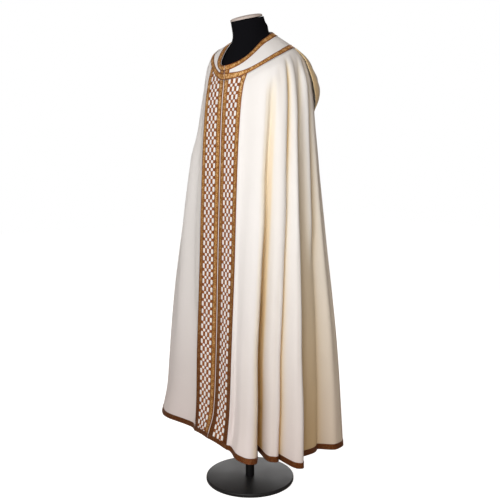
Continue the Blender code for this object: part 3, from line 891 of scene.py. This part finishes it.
def make_yoke(wool, gallon, sewn):
    points = yoke_grid(YOKE_ROWS, lambda share: (0 * share, 1))
    run = arc_lengths(points, 1)
    down = np.repeat(np.linspace(0, SEAM_AT, YOKE_ROWS)[:, None], run.shape[1], axis=1)
    marks = np.stack((run, down, np.zeros_like(run)), axis=-1)
    piece = add_sheet("cope_yoke", points, "left", wool, marks, WOOL_WALL)
    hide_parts("yoke")
    for name, node, part_of in (("neckline_braid", "neckline_gallon", lambda share: (0, share)),
                                ("yoke_edge_braid", "yoke_edge_gallon", lambda share: (1 - share, 1))):
        points = yoke_grid(GALLON_COLUMNS, part_of)
        strip = add_trim(name, points, "left", gallon, flat_braid, swap=True, sewn=sewn)
        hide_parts(node)
    for side in TURN:
        points = yoke_rows(side, np.linspace(0, 2, 11), 7, lambda share: (share, 1 - share))
        strip = add_trim(f"yoke_front_braid_{side}", points, side, gallon, flat_braid, sewn=sewn)
        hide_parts(f"yoke_front_gallon_{side}")


# Soft troughs across the hood: how far down at the middle, how much higher at the sides, depth in metres,
# and half width; all but the depth are shares of the hood's length
HOOD_CREASES = ((.30, .16, -.0036, .060), (.50, .25, -.0046, .070), (.72, .36, -.0034, .065))


def make_hood(wool):
    """A pouch that hangs from the yoke's seam, swells off the back and turns in at its lower edge."""
    down, across = np.meshgrid(np.linspace(0, 1, 61), np.linspace(-1, 1, 121), indexing="ij")
    section = sections_at(HOOD_TOP + HOOD_LENGTH * down)
    half_angle = math.radians(HOOD_HALF_ANGLE) * np.sqrt(1 - HOOD_TAPER * down ** HOOD_ROUNDNESS)
    swell = np.sin(math.pi * down ** HOOD_SAG) * (1 - across ** 4)
    lift = HOOD_LIFT + (HOOD_SIDE_LIFT - HOOD_LIFT) * np.minimum(down * 4, 1)
    creased = np.zeros_like(down)
    for middle, rise, depth, width in HOOD_CREASES:
        line = middle - rise * across ** 2
        creased += depth * np.exp(-((down - line) / width) ** 2) * (1 - across ** 6)
    out = lift + HOOD_SWELL * swell + creased * smooth_step(swell * 2)
    angle = math.pi - np.abs(across) * half_angle
    points = np.where(across[..., None] <= 0, *(place(section, side, angle, out) for side in TURN))
    # painted shade, strongest at the hood's left edge
    left_edge_shade = smooth_step((HOOD_TURN_FROM - across) / HOOD_TURN)
    shade = HOOD_SHADE[0] + (HOOD_SHADE[1] - HOOD_SHADE[0]) * left_edge_shade
    marks = np.stack((arc_lengths(points, 1), arc_lengths(points, 0), shade), axis=-1)
    piece = add_sheet("cope_hood", points, "left", wool, marks, WOOL_WALL, outward=True)
    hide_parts("hood")


# -------- the dress form

FORM_SIDES, FORM_PARTS = 120, 4  # points round each ring, and parts between two rings
FORM_TURN = np.linspace(0, 2 * math.pi, FORM_SIDES, endpoint=False)
FORM_LEFT = (FORM_TURN < math.pi)[:, None]
FORM_ANGLE = np.where(FORM_TURN < math.pi, FORM_TURN, 2 * math.pi - FORM_TURN)  # the same on both sides
FORM_CLEARANCE, FRONT_CLEARANCE = 0.001, 0.004
CLOTH_WALL = 0.002
# How far the shoulders lie inside the cloth, besides its clearance: distance along it, and inset
SHOULDER_INSET = ((.012, 0), (.050, 0), (.080, 0), (.105, .0005), (.150, .012), (.185, .022))
NECK_BASE_SHARE = 0.85
NECK_BASE_RISE = -0.001
Ring = namedtuple("Ring", "half_width front back z_front z_side z_back")
NECK_RINGS = (
    Ring(.0550, .0700, .0400, 1.6180, 1.6318, 1.6455),
    Ring(.0545, .0610, .0500, 1.5720, 1.6020, 1.6325),
    Ring(.0580, .0680, .0620, 1.5430, 1.5810, 1.6190),
)
# Level rings: half width, depth in front and behind, height
TORSO_RINGS = [Ring(*sizes, height, height, height) for *sizes, height in (
    (.172, .092, .122, 1.300), (.164, .098, .120, 1.220), (.150, .094, .106, 1.120),
    (.142, .090, .100, 1.040), (.150, .094, .108, .950), (.158, .096, .112, .870), (.150, .090, .106, .825),
)]
CAP_PROFILE = ((0, .0128), (.40, .0122), (.75, .0105), (.95, .0075), (1, .004), (1, 0))  # share, rise
CAP_CENTRE = 0.02  # the smallest share of the cap's radius
POLE_RADIUS, POLE_BEVEL = 0.016, 0.0006
BASE_RADIUS, BASE_THICKNESS, BASE_BEVEL = 0.16, 0.014, 0.004


def set_ring(ring):
    """One ring of the form, from a Ring."""
    across, forward = np.sin(FORM_TURN), np.cos(FORM_TURN)
    depth = np.where(forward > 0, ring.front, ring.back)
    end = np.where(forward > 0, ring.z_front, ring.z_back)
    height = ring.z_side + (end - ring.z_side) * np.abs(forward)
    return np.stack((ring.half_width * across, -depth * forward, height), axis=1)


def shoulder_ring(along, inset):
    """One ring of the form, just inside the cloth at a distance along it."""
    ease = CLOTH_WALL + FORM_CLEARANCE + FRONT_CLEARANCE * np.maximum(np.cos(FORM_ANGLE), 0) + inset
    rings = []
    for side in TURN:
        here, ahead, behind = (sections_at(np.full(FORM_SIDES, along + step)) for step in (0, 0.01, -0.01))
        downward = place(ahead, side, FORM_ANGLE) - place(behind, side, FORM_ANGLE)
        around = place(here, side, FORM_ANGLE + 0.01) - place(here, side, FORM_ANGLE - 0.01)
        normal = np.cross(downward, around) * TURN[side]
        normal /= np.linalg.norm(normal, axis=1, keepdims=True)
        rings.append(place(here, side, FORM_ANGLE) - normal * ease[:, None])
    return np.where(FORM_LEFT, *rings)


def neck_base_ring():
    neckline = sections_at(np.zeros(FORM_SIDES))
    points = np.where(FORM_LEFT, *(place(neckline, side, FORM_ANGLE) for side in TURN))
    return points * (NECK_BASE_SHARE, NECK_BASE_SHARE, 1) + (0, 0, NECK_BASE_RISE)


def add_loft(name, rings, material):
    """A closed body through rings of points from the top down."""
    count, sides = rings.shape[:2]
    here = np.arange(count * sides).reshape(count, sides)
    beside = np.roll(here, -1, axis=1)
    faces = np.stack((here[:-1], here[1:], beside[1:], beside[:-1]), axis=-1).reshape(-1, 4).tolist()
    return add_piece(name, rings, faces + [here[0].tolist(), here[-1, ::-1].tolist()], material)


def refined(rows):
    """Rows of numbers with more between them, on the steady curve through them."""
    at = np.linspace(0, len(rows) - 1, FORM_PARTS * (len(rows) - 1) + 1)
    return steady_curve(np.arange(len(rows), dtype=float), rows, at)


def make_torso(jersey):
    rings = [set_ring(ring) for ring in NECK_RINGS] + [neck_base_ring()]
    rings += [shoulder_ring(along, inset) for along, inset in SHOULDER_INSET]
    rings += [set_ring(ring) for ring in TORSO_RINGS]
    fine = refined(np.array(rings).reshape(len(rings), -1))
    torso = add_loft("torso", fine.reshape(-1, FORM_SIDES, 3), jersey)
    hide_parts("form_torso")


def turned(name, profile, material, sides=96):
    """A solid of revolution about Z from (radius, height) points, top to bottom, closed at both ends."""
    turn = np.linspace(0, 2 * math.pi, sides, endpoint=False)
    rings = [np.stack((r * np.sin(turn), -r * np.cos(turn), np.full(sides, z)), axis=1) for r, z in profile]
    return add_loft(name, np.array(rings), material)


def rounded(radius, bottom, top, bevel):
    """The outline of a disc with rounded edges, from the top down."""
    leans, middle = [math.pi / 2 * i / 6 for i in range(7)], radius - bevel
    upper = [(middle + bevel * math.sin(lean), top - bevel + bevel * math.cos(lean)) for lean in leans]
    lower = [(middle + bevel * math.cos(lean), bottom + bevel - bevel * math.sin(lean)) for lean in leans]
    return upper + lower


def make_stand(cap_stuff, steel):
    top = NECK_RINGS[0]
    dome = [(top.half_width * max(share, CAP_CENTRE), rise) for share, rise in refined(np.array(CAP_PROFILE))]
    cap = turned("neck_cap", dome, cap_stuff)
    cap.rotation_euler = (math.atan2(top.z_back - top.z_front, top.front + top.back), 0, 0)
    cap.location = (0, (top.back - top.front) / 2, top.z_side + 2 * SEAM_GAP)
    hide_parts("form_cap")
    bottom, top = BASE_THICKNESS + SEAM_GAP, TORSO_RINGS[-1].z_side - SEAM_GAP
    pole = turned("pole", rounded(POLE_RADIUS, bottom, top, POLE_BEVEL), steel, sides=48)
    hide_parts("form_pole")
    base = turned("base", rounded(BASE_RADIUS, 0, BASE_THICKNESS, BASE_BEVEL), steel, sides=160)
    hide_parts("form_base")


# -------- studio

def make_floor(reach=9):
    mesh = bpy.data.meshes.new("floor")
    corners = [(-reach, -reach, 0), (reach, -reach, 0), (reach, reach, 0), (-reach, reach, 0)]
    mesh.from_pydata(corners, [], [(0, 1, 2, 3)])
    mesh.materials.append(floor_material())
    floor = add_object("floor", mesh)


# Soft square lights: azimuth in degrees round from the front, power in watts, aim the height it looks at
Light = namedtuple("Light", "name azimuth height distance size power colour aim")
LIGHTS = [Light(*row) for row in (
    ("key", 38, 1.54, 2.04, 1.2, 35.4, (1, 1, 0.995), 1.02),
    ("front_fill", -12, 1.9, 2.6, 1.8, 7, (1, 1, 1), 1.0),
    ("side_fill", 112, 1.9, 1.8, 1.0, 1.2, (1, 0.82, 0.62), 1.35),
    ("back_fill", 228, 2.0, 3.4, 2.2, 46, (1, 1, 1), 1.0),
)]
AIR_COLOUR, AIR_STRENGTH = (1.0, 0.87, 0.78, 1), 0.24


def add_light(row):
    data = bpy.data.lights.new(row.name, "AREA")
    data.shape, data.size, data.energy, data.color = "SQUARE", row.size, row.power, row.colour
    light = add_object(row.name, data)
    turn = math.radians(row.azimuth)
    light.location = (row.distance * math.sin(turn), -row.distance * math.cos(turn), row.height)
    light.rotation_euler = (math.atan2(row.distance, row.height - row.aim), 0, turn)


def make_studio():
    make_floor()
    world = bpy.data.worlds.new("studio")
    world.use_nodes = True
    air = world.node_tree.nodes["Background"]
    seen = seen_by_camera(air)
    feed(air.inputs["Color"], blend(seen, AIR_COLOUR, (1, 1, 1, 1)))
    feed(air.inputs["Strength"], scaled(seen, 1 - AIR_STRENGTH, AIR_STRENGTH))
    bpy.context.scene.world = world
    for row in LIGHTS:
        add_light(row)
    bpy.context.scene.view_settings.view_transform = "Standard"


CAMERA_PLACE = (1.970, -1.539, 1.166)
CAMERA_AZIMUTH, CAMERA_DIP = 52, 7.31  # degrees round from the front, and down from level
CAMERA_LENS, CAMERA_SENSOR = 51.4, 36  # millimetres


def make_camera():
    data = bpy.data.cameras.new("camera")
    data.lens, data.sensor_width = CAMERA_LENS, CAMERA_SENSOR
    camera = add_object("camera", data)
    camera.location = CAMERA_PLACE
    camera.rotation_euler = (math.radians(90 - CAMERA_DIP), 0, math.radians(CAMERA_AZIMUTH))
    bpy.context.scene.camera = camera


def main():
    wool, gallon, check = wool_material(), gallon_material(), band_material()
    make_torso(jersey_material())
    make_stand(cap_material(), steel_material())
    sewn = []
    for side in TURN:
        keys = make_body(side, wool)
        make_orphrey(side, gallon, check, sewn)
        make_hem_gallon(side, keys, gallon, sewn)
    make_yoke(wool, gallon, sewn)
    make_hood(wool)
    make_stitches(sewn, thread_material())
    make_studio()
    make_camera()


main()
